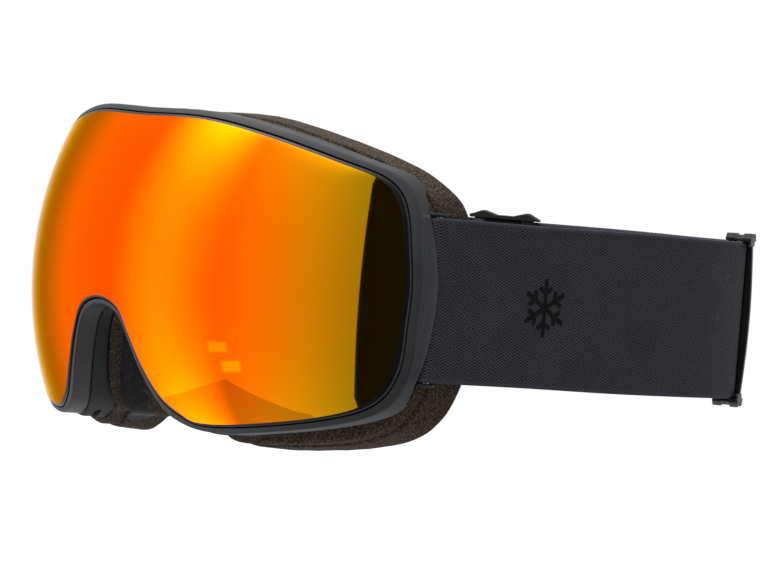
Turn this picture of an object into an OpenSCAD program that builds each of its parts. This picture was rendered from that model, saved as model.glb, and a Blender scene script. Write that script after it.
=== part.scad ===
// Ski goggles with a magnetic spherical lens, a foam face seal and an adjustable head strap.
// Millimetres. The origin is the middle of the face seal's main contact surface, between the eyes.
// +X is to the right for someone who looks at the lens, the lens faces -Y, the face is on the +Y side,
// and +Z is up. Right means +X in every name.

/* [Lens] */
// Radius of the lens's spherical outer surface
lens_r = 108; // [104:1:120]
// Half of the lens's width
lens_half_w = 88; // [84:0.5:90]
// Height of the lens's top edge above the eye line
lens_top = 47; // [44:0.5:50]
// Depth of the lens's bottom edge below the eye line
lens_drop = 42; // [38:0.5:44]
// Depth of the nose arch's crown below the eye line
nose_crown_drop = 8; // [6:0.5:12]
// Half of the nose arch's width at its foot
nose_half_w = 29; // [26:0.5:32]
// Thickness of the outer lens in the middle
outer_lens_t = 1.6; // [1.2:0.1:2.2]
// Thickness of the foam spacer between the two lenses
spacer_t = 1.4; // [1:0.1:2]
// Thickness of the inner lens in the middle
inner_lens_t = 0.9; // [0.7:0.1:1.2]
// Thickness of the carrier rim behind the inner lens
carrier_t = 1.6; // [1.4:0.1:2]

/* [Frame] */
// Distance from the crown of the lens to the face seal
depth = 40; // [36:1:46]
// Thickness of the hard seat that the lens pulls on to
seat_t = 1.6; // [1.4:0.1:2.2]
// Width of the lip that runs round the lens's edge
lip_w = 1.5; // [1.2:0.1:2.5]
// Half of the soft frame's width
frame_half_w = 82; // [80:0.5:83]
// Wall thickness of the soft frame
wall_t = 3.2; // [2.4:0.1:4]
// Width of each vent slot
vent_w = 12; // [8:1:14]

/* [Magnets] */
// Diameter of each magnet
magnet_d = 6; // [4:0.5:6.5]
// Thickness of each magnet
magnet_t = 1; // [0.8:0.1:1.2]

/* [Face seal] */
// Radius of the face that the seal fits, seen from above
face_r = 112; // [105:1:125]
// Radius of the seal's front, seen from above
seal_front_r = 112; // [108:1:128]
// Total thickness of the seal in the middle
seal_t = 15; // [12:0.5:18]
// Thickness of the dense base foam in the middle
base_foam_t = 6; // [4:0.5:8]
// Thickness of the fleece skin
fleece_t = 1; // [0.8:0.1:1.5]
// Width of the band of foam that lies on the face
seal_band = 13; // [10:1:15]

/* [Strap] */
// Width of the elastic strap
strap_w = 47.5; // [40:0.5:50]
// Thickness of the elastic strap
strap_t = 1.6; // [1.4:0.1:1.7]
// Radius of the strap's rear arc, seen from above
rear_r = 82; // [76:1:84]
// Distance from the strap's bar back to the centre of the rear arc
strap_reach = 83.5; // [75:0.5:100]
// Distance between the strap's outer and return layers
loop_gap = 4; // [3.8:0.1:4.2]
// Angle at which the slider sits along the rear arc
slider_angle = 45; // [40:1:50]
// Length of the slider along the strap
slider_len = 22; // [20:1:24]

/* [Hidden] */

ball_fn = 180;
arc_fn = 240;
pin_fn = 48;
outline_steps = 2;
reach = 400;

// Play between bodies that move apart, the hair of play round a captive part, and how far a cut runs past.
gap = 0.3;
play = 0.1;
cut = 1;

// Lens stack: each surface is the lens's sphere moved back by its depth along Y, and no shell reaches
// nearer to the sphere's middle than the margin.
ball_y = lens_r - depth;
equator_margin = 20;
spacer_at = outer_lens_t;
inner_at = spacer_at + spacer_t;
carrier_at = inner_at + inner_lens_t;
stack_back = carrier_at + carrier_t;
seat_gap = 0.2;
seat_at = stack_back + seat_gap;
seat_back = seat_at + seat_t;
lip_at = 0.6;
spacer_inset = 1;
spacer_w = 4;
carrier_inset = 0.5;
rim_inset = 9;

// Outlines: half width, top, drop, crown drop, half width of the nose arch, and how full the cheek is from
// 0 to 1. The frame's and the seal's four middle numbers lie outside the lens's by what is listed.
frame_over = [1.2, 2.4, 2, 2];
seal_over = [1.6, 5.5, 4, 3];
lens_size = [lens_half_w, lens_top, lens_drop, nose_crown_drop, nose_half_w, 0];
frame_size = spread(frame_half_w, frame_over, 0);
seal_size = spread(frame_half_w, seal_over, 1);
flange_t = 1.8;
flange_w = 11;

// Vent slots, each halfway between the lens seat and the flange, and the strips of filter foam inside them.
vent_gap = 2.2;
vent_pitch = 17;
vent_cut = 20;
top_vents = 6;
low_vents = 2;
low_vent_x = 41;
vent_foam_t = 1.5;
vent_foam_w = 112;
vent_foam_z = 24;
nose_gap = 56;

// Face seal surfaces, each an upright cylinder: [radius, y in the middle].
joint_flatter = 4;
base_foam_inset = 0.6;
seal_front = [seal_front_r, -seal_t];
foam_joint = [seal_front_r + joint_flatter, base_foam_t - seal_t];
fleece_joint = [face_r - fleece_t, -fleece_t];
face_surface = [face_r, 0];

// Below nose_top each of them comes forward in the middle, over the bridge of the nose.
nose_r = 22;
nose_rise = 14;
nose_top = 20;

// Strap: each side stretch is a slight arc that starts square at its bar and runs on into the rear arc.
strap_x = 88.6;
bar_y = 16;
bar_r = 1.1;
rear_cy = bar_y + strap_reach;
side_r = (strap_x * strap_x + strap_reach * strap_reach - rear_r * rear_r) / (2 * (strap_x - rear_r));
side_cx = strap_x - side_r;
side_angle = atan(strap_reach / -side_cx);
half_t = strap_t / 2;
loop_r = loop_gap / 2;
return_t = 1.4;
side_steps = 3;
rear_steps = 8;

// Outrigger: a channel whose two arms hold the strap's bar.
channel_x = 82.4;
channel_t = 1.1;
arm_h = 2;
arm_back = 24;
arm_front = 13;
arm_out = strap_x + half_t;

// Slider, in its own frame: x outward from the strap's middle, y back along the strap.
rail_h = 2.4;
rail_z = strap_w / 2 + gap;
rail_in = -5.3;
rail_out = 3.1;
outer_bar = [1.1, 3.1];
inner_bar = [-4.2, -3];
bar_len = 3;
bar_pitch = 7.5;
bar_root = 0.5;
hump_r = 3.4;
hump_h = 1;
tab_t = 1;
tab_h = strap_w - 2;
tab_reach = asin((bar_pitch + bar_len / 2 + play + tab_t + gap) / (rear_r - loop_gap - return_t / 2));

// Places of the magnets, as fractions of the lens's half width, top and drop.
magnet_right = [0.95 * lens_half_w, 4.5];
magnet_top = [0.52 * lens_half_w, 0.825 * lens_top];
magnet_low = [0.62 * lens_half_w, -0.835 * lens_drop];

// Emblem: a plain six-armed snow crystal.
emblem_angle = 3.8;
emblem_r = 8.5;
emblem_line = 1.3;
emblem_t = 0.12;
emblem_cut = 20;
twig_at = 0.5;
twig_len = 0.34;
twig_turn = 55;

// Grip lines on the inside of the rear stretch.
grip_count = 3;
grip_pitch = 11;
grip_h = 3;
grip_t = 0.3;
grip_start = 30;

// Right half of an outline, from the top's middle clockwise to the crown of the nose arch.
function half_outline(s) =
    let (w = s[0], top = s[1], low = -s[2], crown = -s[3], nose = s[4], full = s[5], rise = crown - low)
    [
        [0, top], [0.30 * w, top], [0.55 * w, 0.925 * top], [0.78 * w, 0.80 * top],
        [0.90 * w, (0.70 - 0.03 * full) * top], [0.962 * w, 0.51 * top], [w, 0.15 * top], [w, 0.15 * low],
        [0.975 * w, (0.50 + 0.05 * full) * low], [0.905 * w, (0.75 + 0.06 * full) * low],
        [0.77 * w, (0.885 + 0.04 * full) * low], [0.55 * w, 0.98 * low],
        [0.40 * w, (1 - 0.015 * full) * low], [nose, (0.95 - 0.05 * full) * low],
        [0.80 * nose, low + 0.19 * rise], [0.62 * nose, low + 0.43 * rise],
        [0.47 * nose, low + 0.69 * rise], [0.30 * nose, low + 0.92 * rise], [0, crown]
    ];

function mirror_outline(half) =
    concat(half, [for (i = [len(half) - 2 : -1 : 1]) [-half[i][0], half[i][1]]]);

// Catmull-Rom point between b and c.
function between(a, b, c, d, t) =
    0.5 * (2 * b + (c - a) * t + (2 * a - 5 * b + 4 * c - d) * t * t + (3 * b - a - 3 * c + d) * t * t * t);

function smooth(p, steps) =
    let (n = len(p))
    [for (i = [0 : n - 1], k = [0 : steps - 1])
        between(p[(i + n - 1) % n], p[i], p[(i + 1) % n], p[(i + 2) % n], k / steps)];

// The lens's outline with another half width, moved outward by over = [top, drop, crown drop, nose arch].
function spread(w, over, full) = [
    w, lens_top + over[0], lens_drop + over[1], nose_crown_drop + over[2], nose_half_w - over[3], full
];

// An outline grown outward by g on every side; the nose arch narrows as it grows.
function grown(s, g) = [s[0] + g, s[1] + g, s[2] + g, s[3] + g, s[4] - g, s[5]];

function arc(cx, cy, r, from, to, steps) =
    [for (i = [0 : steps]) let (a = from + (to - from) * i / steps) [cx + r * cos(a), cy + r * sin(a)]];

// A line inside the strap's middle by the distance d, from the bar to the slider, or back where way is -1.
function return_line(d, way) =
    let (
        side = arc(side_cx, bar_y, side_r - d, 0, side_angle, side_steps),
        rear = arc(0, rear_cy, rear_r - d, side_angle, slider_angle - tab_reach, rear_steps),
        line = concat(side, [for (i = [1 : len(rear) - 1]) rear[i]])
    )
    way > 0 ? line : [for (i = [len(line) - 1 : -1 : 0]) line[i]];

module outline(s) {
    polygon(smooth(mirror_outline(half_outline(s)), outline_steps));
}

// An outline in the XZ plane, pushed through along Y.
module through(s) {
    translate([0, reach / 2, 0])
        rotate([90, 0, 0])
            linear_extrude(height = reach)
                outline(s);
}

module ring(s, grow_out, grow_in) {
    difference() {
        through(grown(s, grow_out));
        through(grown(s, grow_in));
    }
}

// The space behind the lens's sphere once that is moved back by the depth d.
module ball(d) {
    translate([0, ball_y + d, 0])
        sphere(r = lens_r, $fn = ball_fn);
}

module shell(d_front, d_back) {
    difference() {
        intersection() {
            ball(d_front);
            front_half();
        }
        ball(d_back);
    }
}

module front_half() {
    translate([-reach / 2, -reach / 2, -reach / 2])
        cube([reach, reach / 2 + ball_y - equator_margin, reach]);
}

// Everything in front of a surface s = [radius, y in the middle]: an upright cylinder, and a smaller one
// that comes forward over the nose.
module in_front_of(s) {
    difference() {
        translate([-reach / 4, -reach / 4, -reach / 4])
            cube([reach / 2, reach / 4 + ball_y, reach / 2]);
        behind(s);
    }
}

module behind(s) {
    translate([0, s[0] + s[1], -reach / 2])
        cylinder(r = s[0], h = reach, $fn = arc_fn);
    translate([0, nose_r + s[1] - nose_rise, -reach / 2])
        cylinder(r = nose_r, h = reach / 2 + nose_top, $fn = ball_fn);
}

module both_sides() {
    children();
    mirror([1, 0, 0])
        children();
}

// One arc of a band, seen from above, round [cx, cy] from angle a for the angle span.
module band(cx, cy, r_in, t, a, span, z0, h) {
    translate([cx, cy, 0])
        rotate([0, 0, a])
            rotate_extrude(angle = span, $fn = arc_fn)
                translate([r_in, z0])
                    square([t, h]);
}

// A disc at p = [x, z] between the depths d_front and d_back.
module disc(p, d, d_front, d_back) {
    intersection() {
        translate([p[0], 0, p[1]])
            rotate([90, 0, 0])
                cylinder(d = d, h = 2 * depth, center = true, $fn = pin_fn);
        shell(d_front, d_back);
    }
}

module magnet_set(d, d_front, d_back) {
    both_sides() {
        disc(magnet_right, d, d_front, d_back);
        disc(magnet_top, d, d_front, d_back);
        disc(magnet_low, d, d_front, d_back);
    }
}

module outer_lens() {
    color("orangered")
        intersection() {
            shell(0, outer_lens_t);
            through(lens_size);
        }
}

module lens_spacer() {
    color("dimgray")
        intersection() {
            shell(spacer_at, inner_at);
            ring(lens_size, -spacer_inset, -spacer_inset - spacer_w);
        }
}

module inner_lens() {
    color("lightyellow")
        intersection() {
            shell(inner_at, carrier_at);
            through(grown(lens_size, -spacer_inset));
        }
}

module lens_carrier() {
    color([0.12, 0.12, 0.13])
        difference() {
            intersection() {
                shell(carrier_at, stack_back);
                ring(lens_size, -carrier_inset, -rim_inset);
            }
            magnet_set(magnet_d, stack_back - magnet_t, stack_back + cut);
        }
}

module lens_magnets() {
    color("silver")
        magnet_set(magnet_d, stack_back - magnet_t, stack_back);
}

module lens_seat() {
    color([0.2, 0.21, 0.22])
        difference() {
            intersection() {
                shell(lip_at, seat_back);
                ring(lens_size, lip_w + gap, -rim_inset);
            }
            difference() {
                through(grown(lens_size, gap));
                ball(seat_at);
            }
            magnet_set(magnet_d, seat_at - cut, seat_at + magnet_t);
            both_sides()
                strap_clearance();
        }
}

module frame_magnets() {
    color("silver")
        magnet_set(magnet_d, seat_at, seat_at + magnet_t);
}

// Room for the strap's fold, cut from the back of the seat.
module strap_clearance() {
    translate([channel_x + channel_t, arm_front - seat_gap, -strap_w / 2 - arm_h - cut])
        cube([arm_out, arm_back, strap_w + 2 * (arm_h + cut)]);
}

// Where the frame's wall starts and ends at the place [x, z].
function wall_front(x, z) = ball_y + seat_back - sqrt(lens_r * lens_r - x * x - z * z);
function wall_back(x) =
    seal_front[1] - flange_t + seal_front[0] - sqrt(seal_front[0] * seal_front[0] - x * x);

// Slots round x_mid, turned along the wall.
module vent_slots(count, x_mid, z_mid) {
    for (i = [0 : count - 1])
        let (x = x_mid + (i - (count - 1) / 2) * vent_pitch, turn = asin(x / seal_front[0]))
            translate([x, (wall_front(x, z_mid) + wall_back(x)) / 2, z_mid])
                rotate([0, 0, turn])
                    cube([vent_w, vent_gap, vent_cut], center = true);
}

module frame() {
    color([0.15, 0.155, 0.16])
        difference() {
            union() {
                intersection() {
                    ring(frame_size, 0, -wall_t);
                    in_front_of(seal_front);
                    ball(seat_back);
                }
                intersection() {
                    ring(frame_size, 0, -flange_w);
                    in_front_of(seal_front);
                    behind([seal_front[0], seal_front[1] - flange_t]);
                }
            }
            vent_slots(top_vents, 0, frame_size[1]);
            both_sides()
                vent_slots(low_vents, low_vent_x, -frame_size[2]);
        }
}

module vent_foam(side) {
    intersection() {
        ring(frame_size, -wall_t, -wall_t - vent_foam_t);
        mirror([0, 0, side < 0 ? 1 : 0])
            translate([-vent_foam_w / 2, -reach / 4, vent_foam_z])
                cube([vent_foam_w, reach / 2, reach / 4]);
        ball(seat_back + play);
        in_front_of([seal_front[0], seal_front[1] - flange_t - play]);
    }
}

module vent_foam_top() {
    color("black")
        vent_foam(1);
}

module vent_foam_bottom() {
    color("black")
        difference() {
            vent_foam(-1);
            translate([-nose_gap / 2, -reach / 2, -reach / 2])
                cube([nose_gap, reach, reach / 2]);
        }
}

module outrigger() {
    color([0.27, 0.28, 0.29])
        difference() {
            translate([channel_x, arm_front, -strap_w / 2 - arm_h])
                cube([arm_out - channel_x, arm_back - arm_front, strap_w + 2 * arm_h]);
            translate([channel_x + channel_t, arm_front - cut, -strap_w / 2 - gap])
                cube([arm_out, arm_back, strap_w + 2 * gap]);
            translate([strap_x - loop_r, bar_y, -strap_w / 2 - arm_h / 2])
                cylinder(r = bar_r, h = strap_w + arm_h, $fn = pin_fn);
        }
}

module strap_bar() {
    color("gray")
        translate([strap_x - loop_r, bar_y, -strap_w / 2 - arm_h / 2])
            cylinder(r = bar_r, h = strap_w + arm_h, $fn = pin_fn);
}

module seal_layer(front, back, grow) {
    intersection() {
        ring(seal_size, grow, -seal_band - grow);
        in_front_of(back);
        behind(front);
    }
}

module base_foam() {
    color([0.36, 0.31, 0.27])
        seal_layer(seal_front, foam_joint, -base_foam_inset);
}

module face_foam() {
    color([0.36, 0.31, 0.27])
        seal_layer(foam_joint, fleece_joint, 0);
}

module face_fleece() {
    color([0.08, 0.08, 0.09])
        seal_layer(fleece_joint, face_surface, 0);
}

// The side stretch and its fold round the bar.
module strap_side() {
    color([0.17, 0.175, 0.2]) {
        band(side_cx, bar_y, side_r - half_t, strap_t, 0, side_angle, -strap_w / 2, strap_w);
        band(strap_x - loop_r, bar_y, loop_r - half_t, strap_t, -180, 180, -strap_w / 2, strap_w);
    }
}

module strap_rear() {
    color([0.17, 0.175, 0.2])
        band(0, rear_cy, rear_r - half_t, strap_t, side_angle, 180 - 2 * side_angle, -strap_w / 2, strap_w);
}

// The inner layer, from the fold at the bar to the slider, as one outline seen from above.
module strap_return() {
    color([0.15, 0.155, 0.18])
        translate([0, 0, -strap_w / 2])
            linear_extrude(height = strap_w)
                polygon(concat(
                    return_line(loop_gap - return_t / 2, 1),
                    return_line(loop_gap + return_t / 2, -1)
                ));
}

module at_slider() {
    translate([0, rear_cy, 0])
        rotate([0, 0, slider_angle])
            translate([rear_r, 0, 0])
                children();
}

module slider_bar(span, y_mid) {
    translate([span[0], y_mid - bar_len / 2, -rail_z - bar_root])
        cube([span[1] - span[0], bar_len, 2 * (rail_z + bar_root)]);
}

// A rail seen along the slider's x: a low bar with a round hump at each end.
module rail_profile() {
    translate([-slider_len / 2, rail_z])
        square([slider_len, rail_h - hump_h]);
    intersection() {
        for (end = [-1, 1])
            translate([end * (slider_len / 2 - hump_r), rail_z + rail_h - hump_r])
                circle(r = hump_r, $fn = pin_fn);
        translate([-slider_len / 2, rail_z])
            square([slider_len, rail_h]);
    }
}

module slider() {
    color([0.09, 0.09, 0.1])
        at_slider() {
            for (side = [-1, 1])
                mirror([0, 0, side < 0 ? 1 : 0])
                    translate([rail_in, 0, 0])
                        rotate([90, 0, 90])
                            linear_extrude(height = rail_out - rail_in)
                                rail_profile();
            slider_bar(outer_bar, 0);
            slider_bar(inner_bar, -bar_pitch);
            slider_bar(inner_bar, bar_pitch);
        }
}

// A block h high round the front inner bar, with the margin m on each side.
module round_bar(m, h) {
    translate([inner_bar[0] - m, -bar_pitch - bar_len / 2 - m, -h / 2])
        cube([inner_bar[1] - inner_bar[0] + 2 * m, bar_len + 2 * m, h]);
}

// The sewn end of the return layer, wrapped round the slider's front inner bar.
module strap_end() {
    color([0.15, 0.155, 0.18])
        at_slider()
            difference() {
                round_bar(play + tab_t, tab_h);
                round_bar(play, 2 * tab_h);
            }
}

module strap_grip() {
    color([0.3, 0.31, 0.33])
        for (i = [0 : grip_count - 1])
            band(0, rear_cy, rear_r - half_t - grip_t, grip_t, grip_start, 180 - 2 * grip_start,
                 (i - (grip_count - 1) / 2) * grip_pitch - grip_h / 2, grip_h);
}

module crystal() {
    for (i = [0 : 5])
        rotate([0, 0, i * 60]) {
            translate([-emblem_line / 2, 0])
                square([emblem_line, emblem_r]);
            for (side = [-1, 1])
                translate([0, emblem_r * twig_at])
                    rotate([0, 0, side * twig_turn])
                        translate([-emblem_line / 2, 0])
                            square([emblem_line, emblem_r * twig_len]);
        }
}

module strap_emblem() {
    color("black")
        intersection() {
            translate([side_cx, bar_y, 0])
                rotate([0, 0, emblem_angle])
                    rotate([90, 0, 90])
                        translate([0, 0, side_r - emblem_cut / 2])
                            linear_extrude(height = emblem_cut)
                                crystal();
            band(side_cx, bar_y, side_r + half_t, emblem_t, 0, side_angle, -strap_w / 2, strap_w);
        }
}

module left() {
    mirror([1, 0, 0])
        children();
}

outer_lens();
lens_spacer();
inner_lens();
lens_carrier();
lens_magnets();
lens_seat();
frame_magnets();
frame();
vent_foam_top();
vent_foam_bottom();
outrigger();  // outrigger_right
left() outrigger();  // outrigger_left
strap_bar();  // strap_bar_right
left() strap_bar();  // strap_bar_left
base_foam();
face_foam();
face_fleece();
strap_side();  // strap_side_right
left() strap_side();  // strap_side_left
strap_rear();
strap_return();  // strap_return_right
left() strap_return();  // strap_return_left
strap_end();  // strap_end_right
left() strap_end();  // strap_end_left
slider();  // slider_right
left() slider();  // slider_left
strap_grip();
strap_emblem();
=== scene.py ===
import math

import bmesh
import bpy
import numpy as np
from mathutils import Matrix, Vector, noise


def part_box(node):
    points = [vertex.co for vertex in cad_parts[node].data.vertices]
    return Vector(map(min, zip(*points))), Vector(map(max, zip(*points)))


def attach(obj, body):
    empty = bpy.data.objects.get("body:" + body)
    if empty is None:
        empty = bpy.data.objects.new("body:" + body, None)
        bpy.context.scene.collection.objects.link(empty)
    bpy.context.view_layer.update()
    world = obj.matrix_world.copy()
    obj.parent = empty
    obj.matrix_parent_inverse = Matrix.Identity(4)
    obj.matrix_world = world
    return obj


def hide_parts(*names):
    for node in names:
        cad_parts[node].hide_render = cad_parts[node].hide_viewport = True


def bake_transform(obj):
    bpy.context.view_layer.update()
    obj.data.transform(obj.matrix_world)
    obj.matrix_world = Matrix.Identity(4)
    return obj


# Ski goggles. Shapes are worked out in millimetres in the CAD frame and made in metres.
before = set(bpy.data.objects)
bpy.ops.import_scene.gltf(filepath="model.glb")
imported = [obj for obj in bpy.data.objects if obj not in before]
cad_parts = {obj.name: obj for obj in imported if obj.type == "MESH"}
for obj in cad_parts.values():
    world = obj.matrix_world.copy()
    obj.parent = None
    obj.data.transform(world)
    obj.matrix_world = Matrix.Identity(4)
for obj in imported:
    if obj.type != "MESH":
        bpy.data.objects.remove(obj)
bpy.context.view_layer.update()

MM = 0.001

# Lens: radius of its sphere. Outlines: half width, top, drop, crown drop, half width of the nose arch, and how
# full the cheek is.
LENS_R = 108.0
LENS = (88.0, 47.0, 42.0, 8.0, 29.0, 0.0)
FRAME = (82.0, 48.2, 44.4, 10.0, 27.0, 0.0)
SEAL = (82.0, 48.6, 47.5, 12.0, 26.0, 1.0)
OUTLINE_STEPS = 7
HALF_POINTS = 18
STAR_Z = 18.0

# Depths behind the lens's outer surface.
OUTER_BACK = 1.6
SPACER_BACK = 3.0
INNER_BACK = 3.9
CARRIER_BACK = 5.5
SEAT_FRONT = 5.7
SEAT_BACK = 7.3
LIP_FRONT = 0.6
LIP_OUT = 1.8
LIP_IN = 0.3
RIM_INSET = 9.0

# Upright cylinders of the face seal: radius and y in the middle. Below NOSE_TOP a smaller cylinder brings
# each of them forward over the bridge of the nose.
SEAL_FRONT = (112.0, -15.0)
FOAM_JOINT = (116.0, -9.0)
FLEECE_JOINT = (111.6, -0.4)
FACE = (112.0, 0.0)
NOSE_R = 22.0
NOSE_RISE = 14.0
NOSE_TOP = 20.0
NOSE_BLEND = 5.0
FLANGE_T = 1.8
FLANGE_W = 11.0
WALL_T = 3.2
BAND = 13.0

# Strap.
STRAP_H = 23.75
STRAP_T = 0.8
LOOP_GAP = 4.0
REAR_R = 82.0
SLIDER_ANGLE = 45.0
GRIP_PITCH = 11.0

lens_low, lens_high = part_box("outer_lens")
bar_low, bar_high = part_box("strap_bar_right")
rear_low, rear_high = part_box("strap_rear")
BALL_Y = lens_low.y / MM + LENS_R
BAR_X = (bar_low.x + bar_high.x) / 2 / MM
BAR_Y = (bar_low.y + bar_high.y) / 2 / MM
STRAP_X = BAR_X + LOOP_GAP / 2
REAR_Y = rear_high.y / MM - REAR_R - STRAP_T
SIDE_R = (STRAP_X ** 2 + (REAR_Y - BAR_Y) ** 2 - REAR_R ** 2) / (2 * (STRAP_X - REAR_R))
SIDE_CX = STRAP_X - SIDE_R
SIDE_ANGLE = math.degrees(math.atan((REAR_Y - BAR_Y) / -SIDE_CX))


# ---------------------------------------------------------------- outlines and surfaces

def half_outline(size):
    """Right half of an outline, from the top's middle round to the crown of the nose arch."""
    w, top, drop, crown_drop, nose, full = size
    low = -drop
    rise = drop - crown_drop
    return [
        (0, top), (0.30 * w, top), (0.55 * w, 0.925 * top), (0.78 * w, 0.80 * top),
        (0.90 * w, (0.70 - 0.03 * full) * top), (0.962 * w, 0.51 * top), (w, 0.15 * top), (w, 0.15 * low),
        (0.975 * w, (0.50 + 0.05 * full) * low), (0.905 * w, (0.75 + 0.06 * full) * low),
        (0.77 * w, (0.885 + 0.04 * full) * low), (0.55 * w, 0.98 * low),
        (0.40 * w, (1 - 0.015 * full) * low), (nose, (0.95 - 0.05 * full) * low),
        (0.80 * nose, low + 0.19 * rise), (0.62 * nose, low + 0.43 * rise),
        (0.47 * nose, low + 0.69 * rise), (0.30 * nose, low + 0.92 * rise), (0, -crown_drop),
    ]


def outline(size, grow=0.0):
    """A smooth closed outline as x and z columns, grown by a number on every side."""
    w, top, drop, crown, nose, full = size
    half = half_outline((w + grow, top + grow, drop + grow, crown + grow, nose - grow, full))
    ring = np.array(half + [(-x, z) for x, z in half[-2:0:-1]], float)
    before, after, last = (np.roll(ring, k, axis=0) for k in (1, -1, -2))
    rows = []
    for step in range(OUTLINE_STEPS):
        t = step / OUTLINE_STEPS
        rows.append(0.5 * (
            2 * ring + (after - before) * t
            + (2 * before - 5 * ring + 4 * after - last) * t * t
            + (3 * ring - before - 3 * after + last) * t ** 3
        ))
    return np.stack(rows, 1).reshape(-1, 2)


def place_on_outline():
    """For each outline point, how far round it lies: 0 at the top's middle, 18 at the nose arch's crown."""
    i = np.arange(2 * HALF_POINTS * OUTLINE_STEPS) / OUTLINE_STEPS
    return np.where(i > HALF_POINTS, 2 * HALF_POINTS - i, i)


def smoothstep(a, b, x):
    t = np.clip((x - a) / (b - a), 0, 1)
    return t * t * (3 - 2 * t)


def lens_y(points, depth):
    return BALL_Y + depth - np.sqrt(LENS_R ** 2 - points[:, 0] ** 2 - points[:, 1] ** 2)


def cylinder_y(points, surface):
    radius, middle = surface
    x, z = points[:, 0], points[:, 1]
    main = middle + radius - np.sqrt(radius ** 2 - x ** 2)
    nose = middle - NOSE_RISE + NOSE_R - np.sqrt(np.maximum(NOSE_R ** 2 - x ** 2, 0.0))
    blend = np.maximum(NOSE_BLEND - np.abs(main - nose), 0.0) ** 2 / (4 * NOSE_BLEND)
    return np.where((z < NOSE_TOP) & (np.abs(x) < NOSE_R), np.minimum(main, nose) - blend, main)


def loop(points, y):
    """A closed loop of 3D points from x and z columns and y."""
    return np.stack([points[:, 0], np.broadcast_to(y, len(points)), points[:, 1]], 1)


def lens_loop(grow, depth, size=LENS):
    points = outline(size, grow)
    return loop(points, lens_y(points, depth))


def seal_loop(size, grow, surface, shift=0.0):
    points = outline(size, grow)
    return loop(points, cylinder_y(points, surface) + shift)


def unit(v):
    return v / np.maximum(np.linalg.norm(v, axis=-1, keepdims=True), 1e-9)


def rounded(corners, radii, steps=3):
    """Loops of a ring whose section has those corner loops, each rounded by its radius."""
    rows = []
    count = len(corners)
    for k in range(count):
        before, here, after = corners[k - 1], corners[k], corners[(k + 1) % count]
        to_before, to_after = before - here, after - here
        r = radii[k]
        first = here + unit(to_before) * np.minimum(r, 0.45 * np.linalg.norm(to_before, axis=1))[:, None]
        last = here + unit(to_after) * np.minimum(r, 0.45 * np.linalg.norm(to_after, axis=1))[:, None]
        for t in np.linspace(0, 1, steps + 1):
            rows.append((1 - t) ** 2 * first + 2 * t * (1 - t) * here + t * t * last)
    return rows


# ---------------------------------------------------------------- mesh making

def finish_piece(name, verts, faces, body, material, replaces=(), uv=None, weighted=True):
    """Makes one smooth piece from millimetre points, lets it ride on its body and gives it its finish."""
    mesh = bpy.data.meshes.new(name)
    mesh.from_pydata((np.asarray(verts, float) * MM).tolist(), [], faces)
    bm = bmesh.new()
    bm.from_mesh(mesh)
    bmesh.ops.recalc_face_normals(bm, faces=bm.faces)
    bm.to_mesh(mesh)
    bm.free()
    mesh.shade_smooth()
    if uv is not None:
        layer = mesh.uv_layers.new(name="weave")
        corner_verts = np.empty(len(mesh.loops), np.int32)
        mesh.loops.foreach_get("vertex_index", corner_verts)
        layer.data.foreach_set("uv", (np.asarray(uv, float)[corner_verts] * MM).astype(np.float32).ravel())
    if weighted:
        weigh_normals(mesh)
    obj = bpy.data.objects.new(name, mesh)
    bpy.context.scene.collection.objects.link(obj)
    for m in material if isinstance(material, (list, tuple)) else [material]:
        mesh.materials.append(m)
    if body is not None:
        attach(obj, body)
    if replaces:
        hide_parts(*replaces)
    return obj


def weigh_normals(mesh):
    """Large faces decide a point's normal, so that flat stretches stay flat next to rounded edges."""
    normals = np.zeros((len(mesh.vertices), 3))
    for polygon in mesh.polygons:
        n = np.array(polygon.normal) * polygon.area
        for v in polygon.vertices:
            normals[v] += n
    mesh.normals_split_custom_set_from_vertices(unit(normals).tolist())


def skin(loops, closed=True):
    """Points and faces of a tube through closed loops of equal length."""
    verts = np.concatenate(loops)
    n, m = len(loops[0]), len(loops)
    faces = []
    for k in range(m if closed else m - 1):
        for i in range(n):
            a, b = k * n, ((k + 1) % m) * n
            j = (i + 1) % n
            faces.append((a + i, a + j, b + j, b + i))
    return verts, faces


def roughen(verts, size, amount):
    """Moves points by smooth noise of that wavelength, in millimetres."""
    out = np.array(verts, float)
    for i, p in enumerate(out):
        out[i] += np.array(noise.noise_vector(Vector(p) / size)) * amount
    return out


def mirrored(verts):
    return np.asarray(verts, float) * (-1, 1, 1)


def joined(parts):
    """Several lots of points and faces as one."""
    verts, faces, base = [], [], 0
    for v, f in parts:
        verts.append(np.asarray(v, float))
        faces += [tuple(i + base for i in face) for face in f]
        base += len(v)
    return np.concatenate(verts), faces


def bevelled(bm, width, segments=3, angle=30):
    edges = [e for e in bm.edges if len(e.link_faces) == 2 and e.calc_face_angle() > math.radians(angle)]
    bmesh.ops.bevel(bm, geom=edges, offset=width, segments=segments, profile=0.5, affect="EDGES",
                    clamp_overlap=True)
    bm.verts.index_update()
    out = (np.array([v.co for v in bm.verts]), [tuple(v.index for v in f.verts) for f in bm.faces])
    bm.free()
    return out


def block(low, high, width=0.4, segments=3):
    """A box between two corners with rounded edges."""
    bm = bmesh.new()
    bmesh.ops.create_cube(bm, size=1)
    low, high = np.array(low, float), np.array(high, float)
    for v in bm.verts:
        v.co = Vector((low + high) / 2 + np.array(v.co) * (high - low))
    return bevelled(bm, width, segments)


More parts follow.
